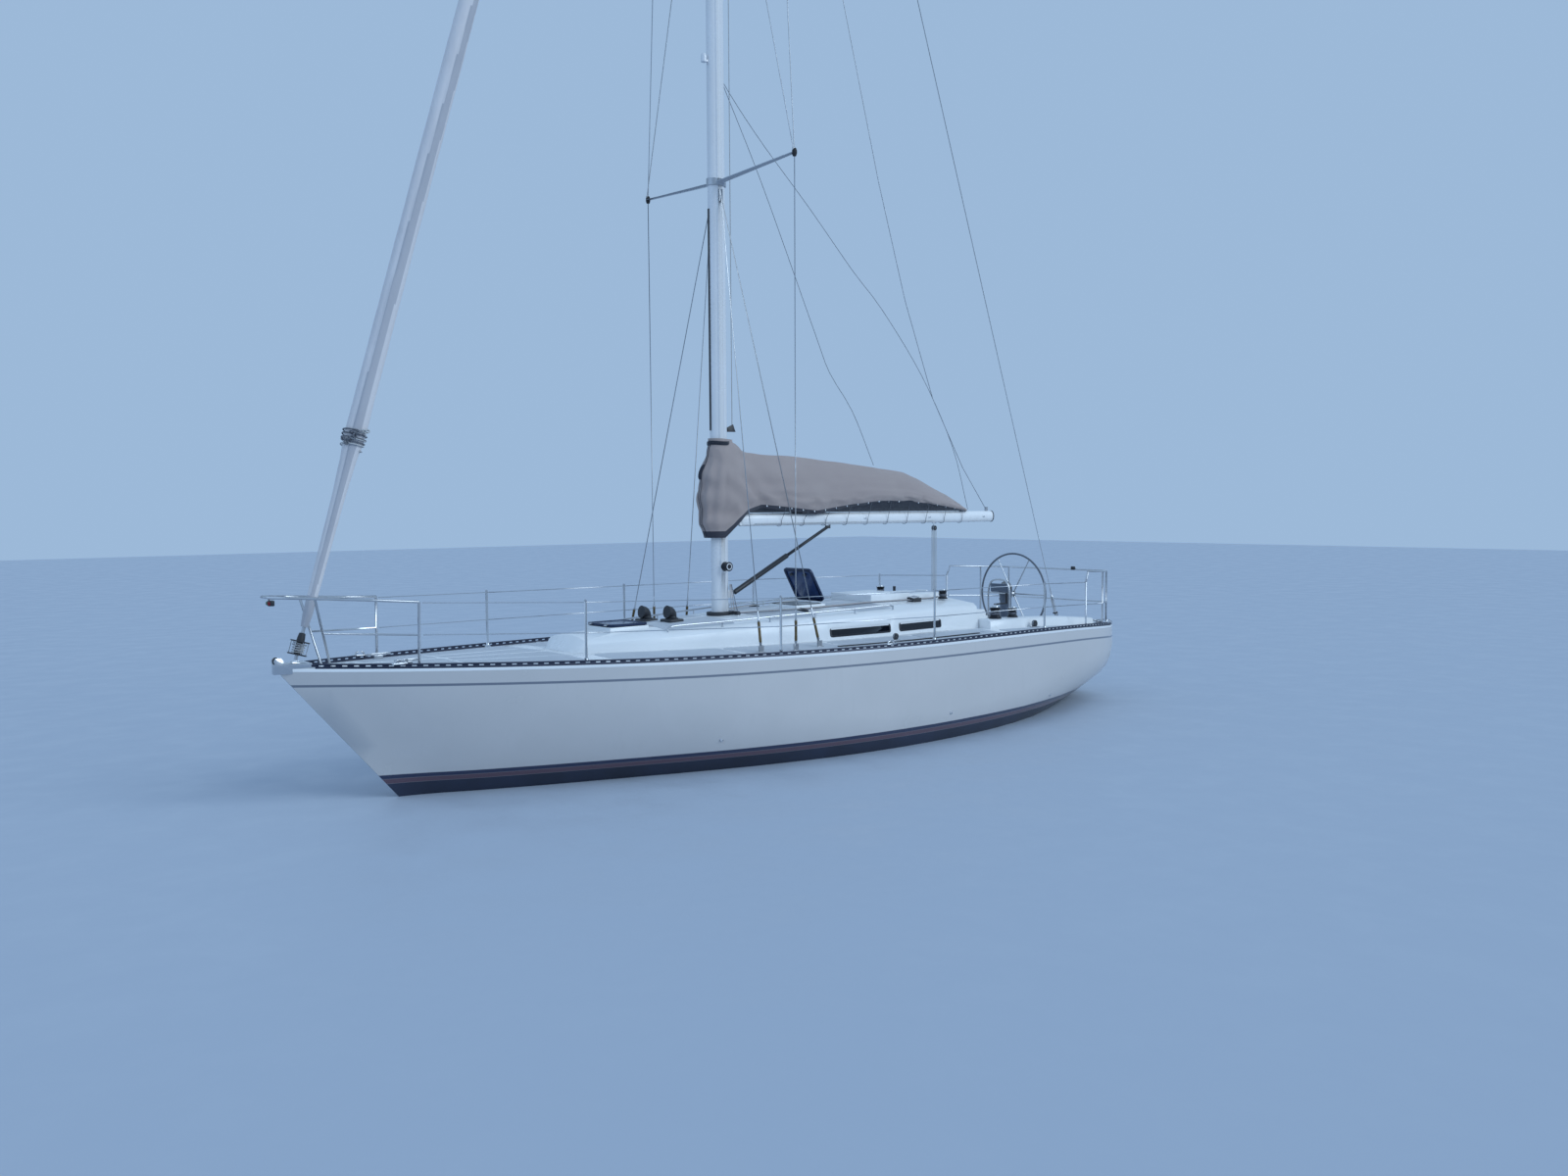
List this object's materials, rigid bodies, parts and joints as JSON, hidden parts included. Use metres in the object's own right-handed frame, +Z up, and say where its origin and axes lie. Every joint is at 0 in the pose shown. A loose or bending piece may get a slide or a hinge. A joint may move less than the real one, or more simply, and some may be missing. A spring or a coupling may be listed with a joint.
{
  "type": "masthead sloop sailing yacht",
  "caption": "Keelboat with furled headsail, covered mainsail on a swinging boom, wheel steering, opening hatches, spade rudder and saildrive.",
  "frame": {"origin": "on the waterline's plane, on the centreline, midway along the waterline", "axes": "+X towards the bow, +Y towards port, +Z up along the mast"},
  "size_m": [11.6716, 3.4292, 19.396],
  "materials": {
    "hull_gelcoat": "light grey gelcoat, dark bottom paint with boot stripes below",
    "deck_gelcoat": "white gelcoat with fine non-slip areas",
    "toe_rail": "dark navy anodised, matt",
    "smoked_acrylic": "dark blue smoked, polished",
    "stainless": "polished stainless steel",
    "winch_metal": "chromed drum over dark base",
    "spar_alloy": "off-white painted and silver anodised",
    "cover_canvas": "grey-taupe acrylic canvas, weathered",
    "sailcloth": "woven sailcloth, rolled",
    "rope": "braided line and dark track",
    "teak": "oiled, satin",
    "keel_iron": "bottom paint over iron",
    "bottom_paint": "bottom paint over glass fibre",
    "engine_paint": "satin enamel",
    "bronze": "dull bronze",
    "black_fitting": "black anodised and moulded"
  },
  "bodies": {
    "yacht": {"hull_shell": "hull_gelcoat", "deck_moulding": "deck_gelcoat", "toe_rail_port": "toe_rail", "toe_rail_starboard": "toe_rail", "cabin_trunk": "deck_gelcoat", "windows_port": "smoked_acrylic", "windows_starboard": "smoked_acrylic", "companionway_hood": "deck_gelcoat", "washboards": "teak", "cockpit_moulding": "deck_gelcoat", "primary_winch_port": "winch_metal", "primary_winch_starboard": "winch_metal", "halyard_winch_port": "winch_metal", "halyard_winch_starboard": "winch_metal", "bow_cleat_port": "stainless", "bow_cleat_starboard": "stainless", "stern_cleat_port": "stainless", "stern_cleat_starboard": "stainless", "cabin_sole": "teak", "main_bulkhead": "teak", "companionway_ladder": "teak", "keel_fin": "keel_iron", "engine_and_saildrive": "engine_paint", "mast_step": "black_fitting", "spreaders_lower": "spar_alloy", "spreaders_upper": "spar_alloy", "masthead_crane": "spar_alloy", "mast": "spar_alloy", "cap_shrouds_port": "stainless", "cap_shrouds_starboard": "stainless", "upper_shroud_port": "stainless", "upper_shroud_starboard": "stainless", "diagonal_shroud_port": "stainless", "diagonal_shroud_starboard": "stainless", "lower_shrouds_port": "stainless", "lower_shrouds_starboard": "stainless", "backstay": "stainless", "forestay": "spar_alloy", "furled_headsail": "sailcloth", "furler_drum": "black_fitting", "stemhead_fitting": "stainless", "cover_collar": "cover_canvas", "mainsheet_traveller": "rope", "steering_pedestal": "deck_gelcoat", "guard_rail_port": "stainless", "guard_rail_starboard": "stainless", "bow_pulpit": "stainless", "stern_pushpit": "stainless"},
    "rudder": {"rudder": "bottom_paint"},
    "steering_wheel": {"steering_wheel": "stainless"},
    "propeller": {"propeller": "bronze"},
    "boom": {"boom": "spar_alloy", "vang": "black_fitting", "mainsail_cover": "cover_canvas", "topping_lift": "rope"},
    "mid_hatch": {"mid_hatch_lid": "smoked_acrylic"},
    "fore_hatch": {"fore_hatch_lid": "smoked_acrylic"},
    "companionway_hatch": {"companionway_hatch": "deck_gelcoat"},
    "locker_port": {"locker_lid_port": "deck_gelcoat"},
    "locker_starboard": {"locker_lid_starboard": "deck_gelcoat"}
  },
  "joints": [
    {"name": "rudder_turn", "type": "hinge", "parent": "yacht", "child": "rudder", "pos_m": [-4.33, 0, -0.5], "axis": [0, 0, 1], "range_deg": [-36, 36]},
    {"name": "wheel_turn", "type": "hinge", "parent": "yacht", "child": "steering_wheel", "pos_m": [-4.41, 0, 1.49], "axis": [1, 0, 0], "range_deg": [-360, 360]},
    {"name": "propeller_turn", "type": "hinge", "parent": "yacht", "child": "propeller", "pos_m": [-3.135, 0, -0.73], "axis": [1, 0, 0], "continuous": true},
    {"name": "boom_swing", "type": "hinge", "parent": "yacht", "child": "boom", "pos_m": [0.73, 0, 2.6], "axis": [0, 0, 1], "range_deg": [-65, 65]},
    {"name": "mid_hatch_hinge", "type": "hinge", "parent": "yacht", "child": "mid_hatch", "pos_m": [-0.52, 0, 1.594], "axis": [0, -1, 0], "range_deg": [-60, 35]},
    {"name": "fore_hatch_hinge", "type": "hinge", "parent": "yacht", "child": "fore_hatch", "pos_m": [2.56, 0, 1.5038], "axis": [0, 1, 0], "range_deg": [0, 100]},
    {"name": "companionway_slide", "type": "slide", "parent": "yacht", "child": "companionway_hatch", "axis": [1, 0, 0], "range_m": [0, 0.6]},
    {"name": "locker_port_hinge", "type": "hinge", "parent": "yacht", "child": "locker_port", "pos_m": [-3.39, 0.848, 0.972], "axis": [-1, 0, 0], "range_deg": [0, 85]},
    {"name": "locker_starboard_hinge", "type": "hinge", "parent": "yacht", "child": "locker_starboard", "pos_m": [-3.39, -0.848, 0.972], "axis": [1, 0, 0], "range_deg": [0, 85]}
  ],
  "couplings": [
    {"joint": "wheel_turn", "follows": "rudder_turn", "ratio": 10}
  ]
}
